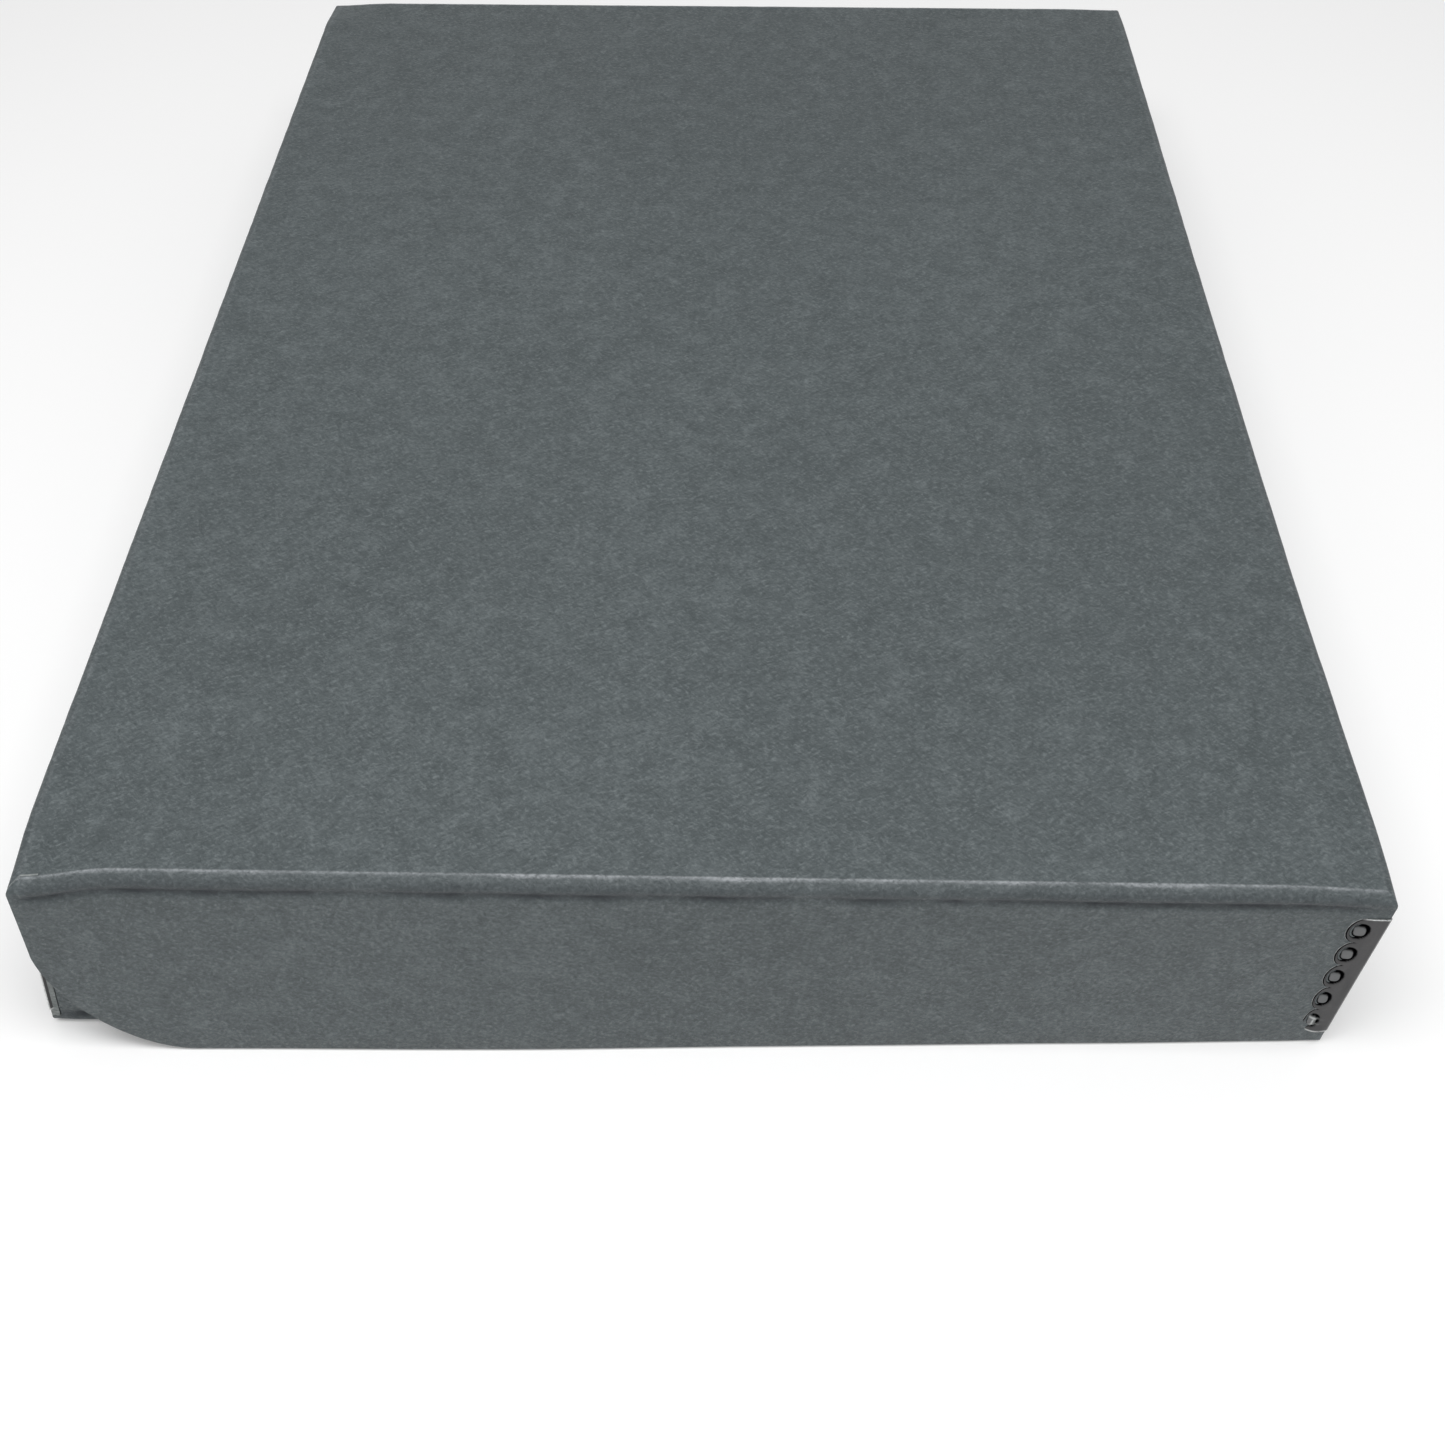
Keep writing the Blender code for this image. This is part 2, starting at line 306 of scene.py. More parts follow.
def paint_material():
    """Taupe-grey enamel on steel, with a painted highlight on the raised pads and painted shade in the
    pressed rings around them.
    """
    made = Nodes("stay_enamel")
    grain = made.noise(made.place, 1300.0, 3.0, 0.55)
    smear = made.noise(made.stretched(made.place, (260, 260, 90)), 1.0, 3.0, 0.6)
    colour = made.mix(made.band(smear, 0.35, 0.70), rgb(44, 44, 46), rgb(66, 65, 66))
    colour = made.mix(made.band(grain, 0.50, 0.75, 0.0, 0.35), colour, rgb(84, 82, 82))
    # Painted highlight: the raised pads are lightened as if catching the light.
    pad = made.attribute("pad")
    colour = made.mix(made.math("MULTIPLY", pad, 0.8), colour, rgb(104, 106, 107))
    # Painted shade: the pressed groove around each pad is made near black.
    ring = made.attribute("ring")
    colour = made.mix(ring, colour, rgb(3, 3, 4))
    bare = made.math("MULTIPLY", made.attribute("bare"), made.band(grain, 0.30, 0.50, 0.35, 1.0))
    colour = made.mix(bare, colour, rgb(205, 207, 206))
    made.feed(made.shader.inputs["Base Color"], colour)
    rough = made.math("ADD", made.band(grain, 0.3, 0.7, 0.42, 0.56), made.math("MULTIPLY", ring, 0.35))
    made.shine(rough, metallic=made.math("MULTIPLY", bare, 0.8))
    gloss = made.math("MULTIPLY", made.math("SUBTRACT", 1.0, ring), 0.4)
    made.feed(made.shader.inputs["Specular IOR Level"], gloss)
    made.bump(grain, 0.00006, 0.35)
    return made.material


def bare_steel_material():
    """Sheared steel at a stay's ends and the clinched prongs."""
    made = Nodes("stay_bare_steel")
    drag = made.noise(made.stretched(made.place, (2600, 2600, 500)), 1.0, 3.0, 0.6)
    colour = made.mix(made.band(drag, 0.35, 0.70), rgb(150, 152, 152), rgb(205, 207, 206))
    made.feed(made.shader.inputs["Base Color"], colour)
    made.shine(made.band(drag, 0.3, 0.7, 0.24, 0.42), metallic=0.9)
    made.bump(drag, 0.00004, 0.4)
    return made.material


BOARD_OUTSIDE = board_material(
    "barrier_board",
    base=rgb(80, 88, 90),
    deep=rgb(58, 66, 68),
    light=rgb(114, 122, 124),
    rub_highlight=rgb(166, 170, 174),
    shade_dirt_colour=rgb(38, 44, 50),
)
CUT_EDGE = cut_edge_material()
ENAMEL = paint_material()
BARE_STEEL = bare_steel_material()


# ---------------------------------------------------------------- mesh helpers


def mesh_object(name, shape, materials):
    mesh = bpy.data.meshes.new(name)
    shape.to_mesh(mesh)
    shape.free()
    obj = bpy.data.objects.new(name, mesh)
    bpy.context.scene.collection.objects.link(obj)
    for material in materials:
        mesh.materials.append(material)
    return obj


def bake_modifiers(obj):
    """Replaces an object's mesh by what its modifiers make of it."""
    graph = bpy.context.evaluated_depsgraph_get()
    graph.update()
    seen = obj.evaluated_get(graph)
    made = bpy.data.meshes.new_from_object(seen, preserve_all_data_layers=True, depsgraph=graph)
    obj.modifiers.clear()
    obj.data = made


def thicken(obj, thickness, seams=(), bevel=CUT_BEVEL):
    """Gives an outer surface its thickness, opens the seams, and breaks the cut edges."""
    solid = obj.modifiers.new("thickness", "SOLIDIFY")
    solid.thickness = thickness
    solid.offset = -1.0
    solid.use_even_offset = True
    solid.material_offset_rim = 1
    bake_modifiers(obj)
    shape = bmesh.new()
    shape.from_mesh(obj.data)
    inside = [
        face
        for face in shape.faces
        if face.material_index == 1 and any(all(seam(v.co) for v in face.verts) for seam in seams)
    ]
    bmesh.ops.delete(shape, geom=inside, context="FACES_ONLY")
    weight = shape.edges.layers.float.new("bevel_weight_edge")
    for edge in shape.edges:
        sides = {face.material_index for face in edge.link_faces}
        edge[weight] = 1.0 if sides == {0, 1} else 0.0
    shape.to_mesh(obj.data)
    shape.free()
    round_over = obj.modifiers.new("cut", "BEVEL")
    round_over.limit_method = "WEIGHT"
    round_over.width = bevel
    round_over.segments = 2
    round_over.material = 1
    round_over.use_clamp_overlap = True
    bake_modifiers(obj)
    obj.data.shade_smooth()
    obj.data.set_sharp_from_angle(angle=math.radians(38))
    return obj


def settle(obj, lie):
    """Moves each vertex from its place in a square box to where it lies in this one."""
    for vert in obj.data.vertices:
        vert.co = lie(vert.co)
    obj.data.update()


def grid_surface(points):
    """A bmesh of quads over a list of rows of points."""
    shape = bmesh.new()
    rows = [[shape.verts.new(p) for p in row] for row in points]
    for upper, lower in zip(rows, rows[1:]):
        for i in range(len(upper) - 1):
            shape.faces.new((upper[i], upper[i + 1], lower[i + 1], lower[i]))
    return shape


def face_outwards(shape, outward):
    """Makes all normals of an open surface agree, and look along outward on the whole."""
    bmesh.ops.recalc_face_normals(shape, faces=shape.faces)
    shape.normal_update()
    if sum(face.normal.dot(outward) * face.calc_area() for face in shape.faces) < 0:
        bmesh.ops.reverse_faces(shape, faces=shape.faces)


# ---------------------------------------------------------------- folded board


def fold_section(radius, drops):
    """(out, down, q, normal out, normal up) along a fold and the wall below it.

    q is the distance along the surface from the end of the arc, negative in the arc.
    """
    section = []
    for step in range(1, ARC_STEPS + 1):
        turn = math.pi / 2 * step / ARC_STEPS
        sine, cosine = math.sin(turn), math.cos(turn)
        q = radius * (turn - math.pi / 2)
        section.append((radius * sine, radius * (1 - cosine), q, sine, cosine))
    for drop in drops:
        section.append((radius, radius + drop, drop, 1.0, 0.0))
    return section


def groove_place(along, seed):
    """(distance below the arc, strength) of a fold's lower crease at this point along it."""
    slow, quick = wave(along / 0.013, 0.3, seed), wave(along / 0.0034, 1.7, seed)
    below = GROOVE_BELOW + 0.6 * MM * slow + 0.25 * MM * quick
    return below, max(0.2, 0.80 + 0.6 * slow + 0.5 * quick)


def crease_offset(along, q, radius, seed):
    """How far a used fold stands out of its plain section: a nose, a ridge above it, a groove below."""
    start = -radius * math.pi / 2
    slow, quick = wave(along / 0.011, 0.3, seed), wave(along / 0.0034, 1.7, seed)
    nose = NOSE * (1 + 0.3 * slow) * bell(q + 0.9 * MM, 1.0 * MM)
    ridge = RIDGE * (1 + 0.6 * quick) * bell(q - start + 0.1 * MM - 0.3 * MM * slow, 0.7 * MM)
    groove_at, strength = groove_place(along, seed)
    groove = GROOVE * strength * bell(q - groove_at, 0.75 * MM)
    wrinkle = WRINKLE * wave(along / 0.0026, q / 0.0016, seed + 3) * bell(q + 0.6 * MM, 2.6 * MM)
    return nose + ridge - groove + wrinkle


def fold_wear_highlight(along, q, radius, seed):
    """How much a fold is lightened at this place, from 0 to 1: rubbed wear with a painted highlight,
    strongest along the top of its arc.
    """
    slow, quick = wave(along / 0.017, 5.1, seed), wave(along / 0.0041, 2.2, seed)
    patchy = max(0.3, 0.85 + 0.4 * slow + 0.4 * quick)
    top = -radius * math.pi / 2 + 0.30 * MM + 0.40 * MM * slow
    width = (0.38 + 0.15 * quick) * MM
    return patchy * (0.90 * bell(q - top, width) + 0.04 * bell(q + 1.4 * MM, 1.3 * MM))


def fold_shade_dirt(along, q, seed):
    """How much a fold's lower crease is darkened at this place, from 0 to 1: painted shade with some
    grime.
    """
    groove_at, strength = groove_place(along, seed)
    line = 0.8 * bell(q - groove_at, 0.85 * MM)
    shade = 0.5 * bell(q - groove_at + 1.4 * MM, 1.6 * MM)
    return min(1.0, strength) * (line + shade)


class Shell:
    """A creased blank folded into a panel with two end flaps and a front flap.

    It is built lying panel up, with the panel's outer face at z = 0, the seam side at -X and the
    front at +X. The end flaps run past the seam to ear_x. With ends_full they cover the front
    flap's ends, or else it covers theirs. hinge_x is the outer face of the fold along the seam
    side, or None if there is none.
    """

    def __init__(
        self, seam_x, ear_x, hinge_x, front_x, half_y, radius, front_drop, end_drop, ends_full, seed
    ):
        self.radius, self.seed = radius, seed
        self.seam_x, self.ear_x, self.hinge_x = seam_x, ear_x, hinge_x
        self.flat_x, self.flat_y = front_x - radius, half_y - radius
        self.front_x, self.half_y = front_x, half_y
        self.end_drop, self.front_drop = end_drop, front_drop
        self.end_x = front_x if ends_full else front_x - BOARD - BUTT_GAP
        self.front_y = half_y - BOARD - BUTT_GAP if ends_full else half_y
        self.xs = self.columns(seam_x)
        self.ears = [x for x in self.columns(ear_x) if x < seam_x - 0.2 * MM]
        self.ys = spaced(-self.flat_y, self.flat_y, ROW)
        self.shape = bmesh.new()
        self.fold = self.shape.verts.layers.float.new("fold")
        self.crease = self.shape.verts.layers.float.new("crease")

    def columns(self, start):
        """Places along X, close together where the end flap's edge curves."""
        curve = []
        if self.end_drop(start) < self.end_drop(self.flat_x) - MM:
            for step in range(RELIEF_STEPS):
                turn = math.pi / 2 * step / RELIEF_STEPS
                curve.append(start + RELIEF_LENGTH * (1 - math.cos(turn) ** (2 / RELIEF_POWER)))
            start += RELIEF_LENGTH
        return curve + spaced(start, self.flat_x, COLUMN)

    def vert(self, x, y, z, wear_highlight=0.0, shade_dirt=0.0):
        made = self.shape.verts.new((x, y, z))
        made[self.fold], made[self.crease] = wear_highlight, shade_dirt
        return made

    def marks(self, along, q, seed, still, rub_highlight):
        """(wear with painted highlight, painted shade with grime) of a fold at this place."""
        if q > CREASED:
            return 0.0, 0.0
        shade_dirt = (0.35 + 0.65 * still) * fold_shade_dirt(along, q, seed)
        return rub_highlight * fold_wear_highlight(along, q, self.radius, seed), shade_dirt

    def ear_place(self, x, down):
        """An ear's x, drawn in beside the rounding of the fold along the seam side."""
        start = self.ear_x
        if self.hinge_x:
            rise = max(0.0, self.radius - down)
            start = max(start, self.hinge_x + self.radius - math.sqrt(self.radius**2 - rise**2))
        return self.seam_x - (self.seam_x - x) * (self.seam_x - start) / (self.seam_x - self.ear_x)

    def stillness(self, along, half):
        """0 at a corner to 1 along a fold: creases fade out where two folds meet."""
        return smooth((half - abs(along)) / (5 * MM))

    def panel(self):
        self.grid = [[self.vert(x, y, 0.0) for y in self.ys] for x in self.xs]
        for left, right in zip(self.grid, self.grid[1:]):
            for j in range(len(self.ys) - 1):
                self.shape.faces.new((left[j], right[j], right[j + 1], left[j + 1]))

    def rows(self, total):
        rest = total - self.radius - CREASE_ROWS[-1]
        return CREASE_ROWS + [CREASE_ROWS[-1] + rest * (i + 1) / WALL_ROWS for i in range(WALL_ROWS)]

    def strip(self, columns):
        """Faces between neighbouring columns of vertices, each from panel to flap's edge."""
        for one, other in zip(columns, columns[1:]):
            for k in range(len(one) - 1):
                corners = [one[k], one[k + 1], other[k + 1], other[k]]
                distinct = list(dict.fromkeys(corners))
                if len(distinct) > 2:
                    self.shape.faces.new(distinct)

    def end_flap(self, side):
        """The flap at -Y (side -1) or +Y (side 1); returns the ridge it shares with the front flap."""
        seed = self.seed + side

        def column(x, first, share=None):
            total = self.end_drop(x)
            verts = [first]
            for out, down, q, n_out, n_up in fold_section(self.radius, self.rows(total)):
                at = x
                if x < self.seam_x:
                    at = self.ear_place(x, down)
                if share is not None:
                    reach = out if q <= 1e-9 else self.end_x - self.flat_x
                    at = self.flat_x + share * reach
                still = self.stillness(at, self.front_x)
                bulge = still * crease_offset(at, q, self.radius, seed) if q < CREASED else 0.0
                place = (at, side * (self.flat_y + out + bulge * n_out), -down + bulge * n_up)
                verts.append(self.vert(*place, *self.marks(at, q, seed, still, 1.0)))
            return verts

        j = 0 if side < 0 else len(self.ys) - 1
        corner = self.grid[-1][j]
        ears = [column(x, self.vert(self.ear_place(x, 0.0), side * self.flat_y, 0.0)) for x in self.ears]
        plain = [column(x, self.grid[i][j]) for i, x in enumerate(self.xs)]
        mitre = [column(self.flat_x, corner, (f + 1) / MITRE_STEPS) for f in range(MITRE_STEPS)]
        self.strip(ears + plain + mitre)
        return mitre[-1][: ARC_STEPS + 1]

    def front_flap(self, ridges):
        seed = self.seed + 5
        total = self.front_drop

        def column(y, first, side=0, share=None):
            verts = [first]
            for out, down, q, n_out, n_up in fold_section(self.radius, self.rows(total)):
                at = y
                if share is not None:
                    reach = out if q <= 1e-9 else self.front_y - self.flat_y
                    at = side * (self.flat_y + share * reach)
                still = self.stillness(at, self.half_y)
                bulge = still * crease_offset(at, q, self.radius, seed) if q < CREASED else 0.0
                place = (self.flat_x + out + bulge * n_out, at, -down + bulge * n_up)
                verts.append(self.vert(*place, *self.marks(at, q, seed, still, LITTLE_RUBBED)))
            return verts

        def ridge_column(side, ridge):
            """Shares the arc's vertices with the end flap, and is its own below it."""
            below = column(side * self.flat_y, ridge[0], side, 1.0)[ARC_STEPS + 1 :]
            return ridge + below

        near, far = ridges
        steps = [(f + 1) / MITRE_STEPS for f in range(MITRE_STEPS - 1)]
        first = [column(-self.flat_y, self.grid[-1][0], -1, share) for share in reversed(steps)]
        last = [column(self.flat_y, self.grid[-1][-1], 1, share) for share in steps]
        plain = [column(y, self.grid[-1][j]) for j, y in enumerate(self.ys)]
        self.strip([ridge_column(-1, near)] + first + plain + last + [ridge_column(1, far)])

    def build(self):
        self.panel()
        ridges = [self.end_flap(-1), self.end_flap(1)]
        self.front_flap(ridges)
        loose = [v for v in self.shape.verts if not v.link_faces]
        bmesh.ops.delete(self.shape, geom=loose, context="VERTS")
        face_outwards(self.shape, Vector((0, 0, 1)))
        return self.shape


def lid_end_drop(x):
    """Depth of the lid's end walls below the top, with the relief at the hinge end."""
    along = (x + LID_X) / RELIEF_LENGTH
    if along >= 1:
        return LID_DEPTH
    rise = (1 - (1 - max(0.0, along)) ** RELIEF_POWER) ** (1 / RELIEF_POWER)
    return LID_DEPTH - RELIEF_HEIGHT * (1 - rise)


def by_wall(inside):
    """1 in a wall, 0 well inside the box, from the distance in from the wall's outer face."""
    return smooth((10 * MM - inside) / (8 * MM))


def corner_give(place, share):
    """How a corner of the lid's panel droops and spreads, as a move; share fades it out."""
    near_side = smooth(1 - (LID_X - abs(place.x)) / CORNER_WIDTH)
    near_end = smooth(1 - (LID_Y - abs(place.y)) / CORNER_LENGTH)
    share *= near_side * near_end * (1.0 if place.x < 0 else FRONT_SHARE)
    return Vector((0.0, math.copysign(CORNER_SPLAY * share, place.y), -CORNER_DROOP * share))


def lid_lies(place):
    """Where a point of a square lid lies in this one."""
    moved = place.copy()
    deep = min(1.0, max(0.0, (TOP - place.z) / LID_DEPTH))
    to_near = place.y + LID_Y
    flare = CORNER_FLARE * smooth(1 - to_near / FLARE_LENGTH) - FRONT_BOW * bell(place.y - 0.01, 0.10)
    moved.x += flare * smooth((place.x + 0.02) / LID_X)
    moved.x -= FRONT_LEAN * deep * by_wall(LID_X - place.x)
    free = (LID_X - place.x) / (2 * LID_X)
    splay = END_SPLAY + (NEAR_SPLAY - END_SPLAY) * (1 - (1 - free) ** 4) + FREE_SPLAY * smooth(free)
    splay += 0.35 * MM * wave(place.x / 0.05, 0.0, 3) * smooth(free * 5)
    side = -1.0 if place.y < 0 else FAR_SHARE
    moved.y += side * splay * deep * by_wall(LID_Y - abs(place.y))
    if deep < 0.1:
        fade = smooth((LID_X - abs(place.x)) / 0.04) * smooth((LID_Y - abs(place.y)) / 0.04)
        moved.z += PANEL_WAVE * fade * wave(place.x / 0.09, place.y / 0.09, 1)
    return moved + corner_give(place, (1 - deep) ** 2)


def tray_lies(place):
    """Where a point of a square tray lies in this one."""
    moved = place.copy()
    low = min(1.0, max(0.0, 1 - place.z / TRAY_WALL_HIGH.z))
    to_spine = smooth(-place.x / LID_X)
    to_end = smooth((abs(place.y) - 0.10) / (TRAY_Y - 0.10))
    moved.x -= SPINE_LEAN * low * to_spine
    moved.y += math.copysign(TRAY_SPREAD * low * to_spine * to_end, place.y)
    return moved


def drop_front_lies(place):
    """Where a point of a square drop front lies in this one."""
    moved = tray_lies(place)
    moved.x -= DROP_LEAN * max(0.0, place.z) / TRAY_WALL_HIGH.z
    return moved


def lid_board():
    seam_x = -LID_X + LID_RADIUS + SEAM
    shell = Shell(
        seam_x,
        ear_x=EAR_START - LID_X,
        hinge_x=-LID_X,
        front_x=LID_X,
        half_y=LID_Y,
        radius=LID_RADIUS,
        front_drop=LID_DEPTH,
        end_drop=lid_end_drop,
        ends_full=True,
        seed=LID_SEED,
    )
    obj = mesh_object("lid_board", shell.build(), [BOARD_OUTSIDE, CUT_EDGE])
    obj.data.transform(Matrix.Translation((0, 0, TOP)))
    flat = LID_Y - LID_RADIUS + TINY
    thicken(
        obj,
        BOARD,
        [lambda v: abs(v.x - seam_x) < TINY and abs(v.y) < flat and v.z > TOP - 2 * BOARD],
    )
    settle(obj, lid_lies)
    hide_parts("lid_panel", "lid_near_wall", "lid_far_wall", "lid_front_wall")
    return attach(obj, "lid")


def tray_board():
    """The same kind of shell turned over: its front flap is the spine, its seam side the drop front."""
    seam_x = -TRAY_FRONT + TRAY_RADIUS + SEAM
    wall = TRAY_WALL_HIGH.z
    spine_top = TOP - LID_RADIUS - SEAM
    shell = Shell(
        seam_x,
        ear_x=-TRAY_FRONT + BOARD + 2 * BUTT_GAP,
        hinge_x=None,
        front_x=LID_X,
        half_y=TRAY_Y,
        radius=TRAY_RADIUS,
        front_drop=spine_top,
        end_drop=lambda x: wall,
        ends_full=False,
        seed=TRAY_SEED,
    )
    obj = mesh_object("tray_board", shell.build(), [BOARD_OUTSIDE, CUT_EDGE])
    obj.data.transform(Matrix.Rotation(math.pi, 4, "Y"))
    flat = TRAY_Y - TRAY_RADIUS + TINY
    thicken(
        obj,
        BOARD,
        [
            lambda v: abs(v.x + seam_x) < TINY and abs(v.y) < flat and v.z < 2 * BOARD,
            lambda v: abs(v.z - spine_top) < TINY and v.x < -LID_X + 2 * BOARD,
        ],
    )
    settle(obj, tray_lies)
    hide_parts("tray_bottom", "tray_near_wall", "tray_far_wall", "spine_wall")
    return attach(obj, "tray")


def fold_strip(name, section, reach, outward, seams):
    """A strip of folded board along Y.

    section(y) lists (x, z, wear with painted highlight, painted shade with grime) for each row, and
    reach(k) is row k's half length.
    """
    steps = spaced(-1.0, 1.0, 0.013)
    count = len(section(0.0))
    lines = [section(step * TRAY_Y) for step in steps]
    points = [[(line[k][0], step * reach(k), line[k][1]) for line, step in zip(lines, steps)]
              for k in range(count)]
    shape = grid_surface(points)
    fold = shape.verts.layers.float.new("fold")
    crease = shape.verts.layers.float.new("crease")
    shape.verts.ensure_lookup_table()
    for k in range(count):
        for i, line in enumerate(lines):
            vert = shape.verts[k * len(lines) + i]
            vert[fold], vert[crease] = line[k][2], line[k][3]
    face_outwards(shape, outward)
    obj = mesh_object(name, shape, [BOARD_OUTSIDE, CUT_EDGE])
    return thicken(obj, BOARD, seams)


def hinge_fold():
    """The crease between the spine's top and the lid."""
    low_z = TOP - LID_RADIUS - SEAM
    high_x = -LID_X + LID_RADIUS + SEAM
    drops = (SEAM, 2.1 * MM, 1.6 * MM, 1.2 * MM, 0.9 * MM, 0.6 * MM, 0.3 * MM)

    def section(y):
        line = []
        still = smooth((LID_Y - abs(y)) / (9 * MM))
        for drop in drops:
            out = still * crease_offset(y, drop, LID_RADIUS, HINGE_SEED) * smooth((SEAM - drop) / MM)
            line.append((-LID_X - out, TOP - LID_RADIUS - drop, 0.0, fold_shade_dirt(y, drop, HINGE_SEED)))
        for step in range(ARC_STEPS + 1):
            turn = math.pi / 2 * (1 - step / ARC_STEPS)
            q = LID_RADIUS * (turn - math.pi / 2)
            out = LID_RADIUS + still * crease_offset(y, q, LID_RADIUS, HINGE_SEED)
            wear_highlight = LITTLE_RUBBED * fold_wear_highlight(y, q, LID_RADIUS, HINGE_SEED)
            shade_dirt = fold_shade_dirt(y, q, HINGE_SEED)
            x = -LID_X + LID_RADIUS - out * math.sin(turn)
            line.append((x, TOP - LID_RADIUS + out * math.cos(turn), wear_highlight, shade_dirt))
        for run in (0.5 * MM, 1.2 * MM, 2.1 * MM, SEAM):
            ridge = crease_offset(y, -LID_RADIUS * math.pi / 2 - run, LID_RADIUS, HINGE_SEED)
            ridge *= still * smooth((SEAM - run) / MM)
            line.append((-LID_X + LID_RADIUS + run, TOP + ridge, 0.0, 0.0))
        return line

    def reach(k):
        """The strip's ends follow the rounding of the lid's end walls, so that the corner closes."""
        if k < len(drops):
            return TRAY_Y + (LID_Y - TRAY_Y) * smooth(1 - drops[k] / SEAM)
        turn = math.pi / 2 * max(0.0, 1 - (k - len(drops)) / ARC_STEPS)
        return LID_Y - LID_RADIUS * (1 - math.sin(turn))

    def lies(place):
        deep = (TOP - place.z) / LID_DEPTH
        return place + corner_give(place, (1 - deep) ** 2 * smooth((place.z - low_z) / SEAM))

    obj = fold_strip(
        "hinge_fold",
        section,
        reach,
        Vector((-1, 0, 1)),
        [lambda v: abs(v.z - low_z) < TINY, lambda v: abs(v.x - high_x) < TINY],
    )
    settle(obj, lies)
    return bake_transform(obj)


def front_fold():
    """The crease between the tray's bottom and the drop front."""
    low_x = TRAY_FRONT - TRAY_RADIUS - SEAM
    high_z = TRAY_RADIUS + SEAM

    def section(y):
        line = [(low_x, 0.0, 0.0, 0.0), (low_x + SEAM / 2, 0.0, 0.0, 0.0)]
        for step in range(ARC_STEPS + 1):
            turn = math.pi / 2 * step / ARC_STEPS
            x = TRAY_FRONT - TRAY_RADIUS + TRAY_RADIUS * math.sin(turn)
            line.append((x, TRAY_RADIUS * (1 - math.cos(turn)), 0.25 * math.sin(2 * turn), 0.0))
        line += [(TRAY_FRONT, high_z - SEAM / 2, 0.0, 0.0), (TRAY_FRONT, high_z, 0.0, 0.0)]
        return line

    obj = fold_strip(
        "front_fold",
        section,
        lambda k: TRAY_Y,
        Vector((1, 0, -1)),
        [lambda v: abs(v.x - low_x) < TINY, lambda v: abs(v.z - high_z) < TINY],
    )
    settle(obj, drop_front_lies)
    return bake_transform(obj)


def drop_front_board():
    """The tray's opening side above its fold."""
    low_z = TRAY_RADIUS + SEAM
    heights = spaced(low_z, TRAY_WALL_HIGH.z, ROW)
    ys = spaced(-TRAY_Y, TRAY_Y, ROW)
    shape = grid_surface([[(TRAY_FRONT, y, z) for y in ys] for z in heights])
    shape.verts.layers.float.new("fold")
    shape.verts.layers.float.new("crease")
    face_outwards(shape, Vector((1, 0, 0)))
    obj = mesh_object("drop_front_board", shape, [BOARD_OUTSIDE, CUT_EDGE])
    thicken(obj, BOARD, [lambda v: abs(v.z - low_z) < TINY])
    settle(obj, drop_front_lies)
    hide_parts("drop_front_wall")
    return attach(obj, "drop_front")


# ---------------------------------------------------------------- metal stays

OVAL_AT = 4.45 * MM
OVAL_OUT = 1.60 * MM
OVAL_UP = 1.95 * MM
BEND = 0.5 * MM
INNER_COLUMN = 2.2 * MM
FACE_COLUMNS = 26
BARE_END = 0.26 * MM  # paint sheared away from a stay's upper end
BARE_FOOT = 0.45 * MM  # and from its foot
BITE = 0.42 * MM  # width of a painted shadow line around a lobe, where it bites into the board
BITE_HEIGHT = 0.05 * MM


def tooth_edge(z):
    """Width of a leaf at this height: one rounded lobe for each tooth, its tip near its middle."""
    across = ((z / PITCH) % 1.0) ** 0.9
    return BAND + (LEAF - BAND) * math.sqrt(max(0.0, 1 - (2 * across - 1) ** 2))


def leaf_press(out, z):
    """(height above the plain leaf, pad, ring) of a leaf's pressed surface."""
    middle = PITCH * (min(TEETH - 1, max(0, int(z / PITCH))) + 0.48)
    along, up = (out - OVAL_AT) / OVAL_OUT, (z - middle) / OVAL_UP
    oval = (abs(along) ** 2.2 + abs(up) ** 2.2) ** (1 / 2.2)
    ring = bell(oval - 0.95, 0.18)
    inner_along, inner_up = abs(along - 0.04 - 0.20 * up), abs(up - 0.07)
    block = (inner_along**3.6 + (inner_up * 1.05) ** 3.6) ** (1 / 3.6)
    pad = smooth((0.74 - block) / 0.12)
    sunk = 0.18 * MM * smooth((out - BAND + 1.2 * MM) / (LEAF - BAND + 0.6 * MM))
    height = -sunk - 0.18 * MM * ring + (0.10 + 0.07 * up) * MM * pad
    shade = smooth((oval - 0.52) / 0.12) * smooth((1.16 - oval) / 0.08)
    return height, pad, shade * (1 - pad)


def leaf_columns(z):
    """(out, height, pad, ring) across a leaf at this height, to the line where it bites the board."""
    edge = tooth_edge(min(max(z, TINY), STAY_LENGTH - TINY))
    outs = [BEND + (INNER_COLUMN - BEND) * i / 3 for i in range(4)]
    outs += [INNER_COLUMN + (edge - INNER_COLUMN) * (i + 1) / FACE_COLUMNS for i in range(FACE_COLUMNS)]
    pressed = [(out, *leaf_press(out, z)) for out in outs]
    # The two outer columns are a near-black strip just above the board: a painted shadow where the lobe
    # bites in.
    low = BITE_HEIGHT - PROUD
    return pressed + [(edge + 0.06 * MM, low, 0.0, 0.9), (edge + BITE, low, 0.0, 0.9)]


def scuffed(out, z):
    """Where a knock at the stay's foot scraped the lowest pad bare, from 0 to 1."""
    upper = bell(z - 4.3 * MM - 0.3 * (out - OVAL_AT), 0.22 * MM)
    lower = bell(z - 2.0 * MM + 0.2 * (out - OVAL_AT), 0.2 * MM)
    post = bell(out - 4.1 * MM, 0.2 * MM) * bell(z - 3.0 * MM, 1.1 * MM)
    return min(1.0, (upper + lower) * bell(out - 4.4 * MM, 1.3 * MM) + post)


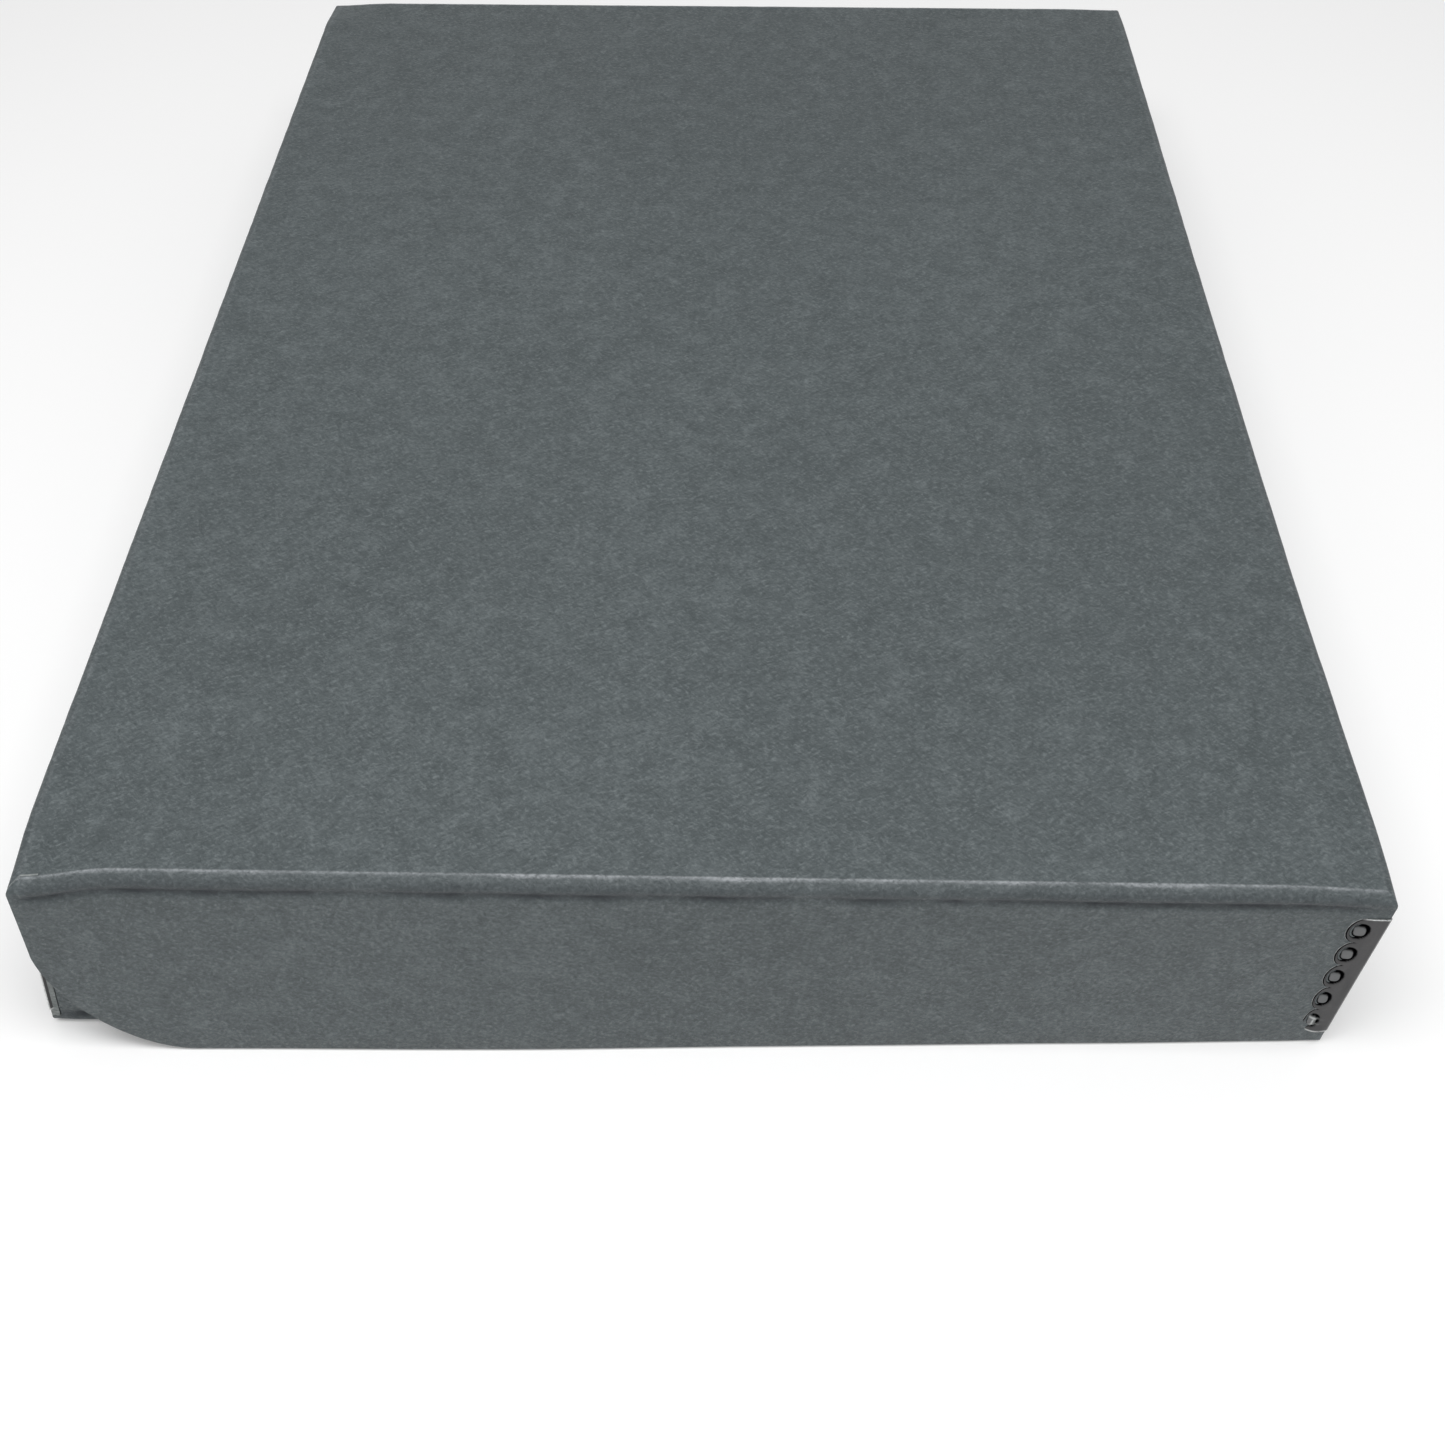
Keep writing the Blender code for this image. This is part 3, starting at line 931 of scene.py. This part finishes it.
def stay_shape(dent, covered):
    """The strip around a corner at the origin, one leaf along +X and one along +Y, standing on z = 0.

    A covered stay has its X leaf under the board's outer ply, so that only the bend shows there.
    """
    points, marks = [], []
    for z in spaced(0.0, STAY_LENGTH, 0.26 * MM):
        pressed = leaf_columns(z)
        bent = dent * bell(z, 2.4 * MM)
        bare = smooth((z - STAY_LENGTH + BARE_END) / (0.1 * MM))
        bare += 0.8 * smooth((BARE_FOOT - z) / (0.15 * MM))
        row, mark = [], []
        for out, height, pad, ring in reversed(pressed):
            under = (PROUD + 0.2 * MM) * smooth((out - BEND) / (0.6 * MM)) if covered else 0.0
            row.append((out, under - height - bent * math.sin(out / LEAF * 5.0), z))
            mark.append((pad, ring, max(bare, scuffed(out, z) if dent else 0.0)))
        for step in range(1, 5):
            turn = math.pi / 2 * step / 5
            row.append((BEND * (1 - math.sin(turn)), BEND * (1 - math.cos(turn)), z))
            mark.append((0.0, 0.0, 1.0 if covered else max(bare, 0.35)))
        for out, height, pad, ring in pressed:
            row.append((-height - bent * math.sin(out / LEAF * 5.0), out, z))
            mark.append((pad, ring, max(bare, scuffed(out, z) if dent else 0.0)))
        points.append(row)
        marks.append(mark)
    shape = grid_surface(points)
    layers = [shape.verts.layers.float.new(name) for name in ("pad", "ring", "bare")]
    for vert, values in zip(shape.verts, [mark for row in marks for mark in row]):
        for layer, value in zip(layers, values):
            vert[layer] = value
    face_outwards(shape, Vector((-1, -1, 0)))
    return shape


def prong_hooks(depth):
    """The clinched ends on the inner faces: small tongues, narrower and lower towards their tips."""
    shape = bmesh.new()
    for tooth in range(TEETH):
        middle = PITCH * (tooth + 0.5)
        for swapped in (False, True):
            made = bmesh.ops.create_cube(shape, size=1.0)["verts"]
            bmesh.ops.scale(shape, vec=(2.0 * MM, 0.3 * MM, 1.6 * MM), verts=made)
            for vert in made:
                if vert.co.x > 0:
                    vert.co.z *= 0.62
                    vert.co.y -= 0.1 * MM
            bmesh.ops.translate(shape, vec=(OVAL_AT + 0.9 * MM, depth, middle), verts=made)
            if swapped:
                for vert in made:
                    vert.co.x, vert.co.y = vert.co.y, vert.co.x
    bmesh.ops.recalc_face_normals(shape, faces=shape.faces)
    return shape


def stay(node, body, quarter_turns, corner, dent, lie, covered=False):
    """One metal stay with its clinched prongs, at a corner of the board."""
    low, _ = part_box(node)
    obj = mesh_object(node + "_strip", stay_shape(dent, covered), [ENAMEL, BARE_STEEL])
    thicken(obj, SHEET, bevel=0.06 * MM)
    hooks = mesh_object(node + "_prongs", prong_hooks(PROUD + BOARD + 0.12 * MM), [BARE_STEEL])
    soften = hooks.modifiers.new("soft", "BEVEL")
    soften.width = 0.1 * MM
    soften.segments = 2
    bake_modifiers(hooks)
    place = Matrix.Translation((corner[0], corner[1], low.z))
    place = place @ Matrix.Rotation(quarter_turns * math.pi / 2, 4, "Z")
    for piece in (obj, hooks):
        piece.data.transform(place)
        settle(piece, lie)
        piece.data.shade_smooth()
        piece.data.set_sharp_from_angle(angle=math.radians(40))
        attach(piece, body)
    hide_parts(node)


def stays():
    spine_x, front_x = -LID_X - PROUD, LID_X + PROUD
    stay("stay_spine_near", "tray", 0, (spine_x, -TRAY_Y - PROUD), 0.0, tray_lies, covered=True)
    stay("stay_front_near", "lid", 1, (front_x, -LID_Y - PROUD), 0.30 * MM, lid_lies)
    stay("stay_front_far", "lid", 2, (front_x, LID_Y + PROUD), 0.1 * MM, lid_lies)
    stay("stay_spine_far", "tray", 3, (spine_x, TRAY_Y + PROUD), 0.0, tray_lies)


# ---------------------------------------------------------------- studio


FLOOR_SIZE = 60.0


def floor():
    bpy.ops.mesh.primitive_plane_add(size=FLOOR_SIZE, location=(0, 0, -2 * TINY))
    plane = bpy.context.object
    plane.name = "studio_floor"
    made = Nodes("studio_white")
    made.shader.inputs["Base Color"].default_value = (0.86, 0.86, 0.86, 1.0)
    made.shine(0.9, specular=0.1)
    made.shader.inputs["Emission Color"].default_value = WHITE
    made.shader.inputs["Emission Strength"].default_value = 0.15
    plane.data.materials.append(made.material)


def area_light(name, place, target, size, power, colour=(1.0, 1.0, 1.0)):
    data = bpy.data.lights.new(name, "AREA")
    data.shape = "RECTANGLE"
    data.size, data.size_y = size
    data.energy = power
    data.color = colour
    lamp = bpy.data.objects.new(name, data)
    lamp.location = place
    lamp.rotation_euler = (Vector(target) - Vector(place)).to_track_quat("-Z", "Y").to_euler()
    lamp.visible_camera = False
    bpy.context.scene.collection.objects.link(lamp)


def lights():
    world = bpy.data.worlds.new("studio")
    world.use_nodes = True
    sky = world.node_tree.nodes["Background"]
    sky.inputs["Color"].default_value = WHITE
    sky.inputs["Strength"].default_value = 0.40
    bpy.context.scene.world = world
    area_light("overhead", (0.0, -0.23, 0.75), (0, -0.15, 0), (0.8, 0.30), 4.6)
    area_light("front_fill", (-0.15, -1.1, 0.50), (0, 0, 0.02), (0.9, 0.5), 0.3, (1.0, 0.985, 0.955))
    area_light("backdrop", (0.0, 1.1, 0.30), (0, 1.1, 0), (2.4, 0.8), 4.0)


CAMERA_AT = Vector((0.0072, -0.3132, 0.2804))
PITCH_DOWN = math.radians(44.9)
YAW = math.radians(-1.0)
FOCAL = 42.3
SHIFT_UP = -0.115


def camera():
    data = bpy.data.cameras.new("camera")
    data.lens = FOCAL
    data.sensor_width = 36.0
    data.shift_y = SHIFT_UP
    data.clip_start = 0.01
    obj = bpy.data.objects.new("camera", data)
    bpy.context.scene.collection.objects.link(obj)
    obj.location = CAMERA_AT
    obj.rotation_euler = (math.pi / 2 - PITCH_DOWN, 0.0, -YAW)
    bpy.context.scene.camera = obj


def colour_management():
    view = bpy.context.scene.view_settings
    view.view_transform = "Standard"
    view.look = "None"


lid_board()
tray_board()
hinge_fold()
front_fold()
drop_front_board()
stays()
floor()
lights()
camera()
colour_management()

bpy.context.view_layer.update()
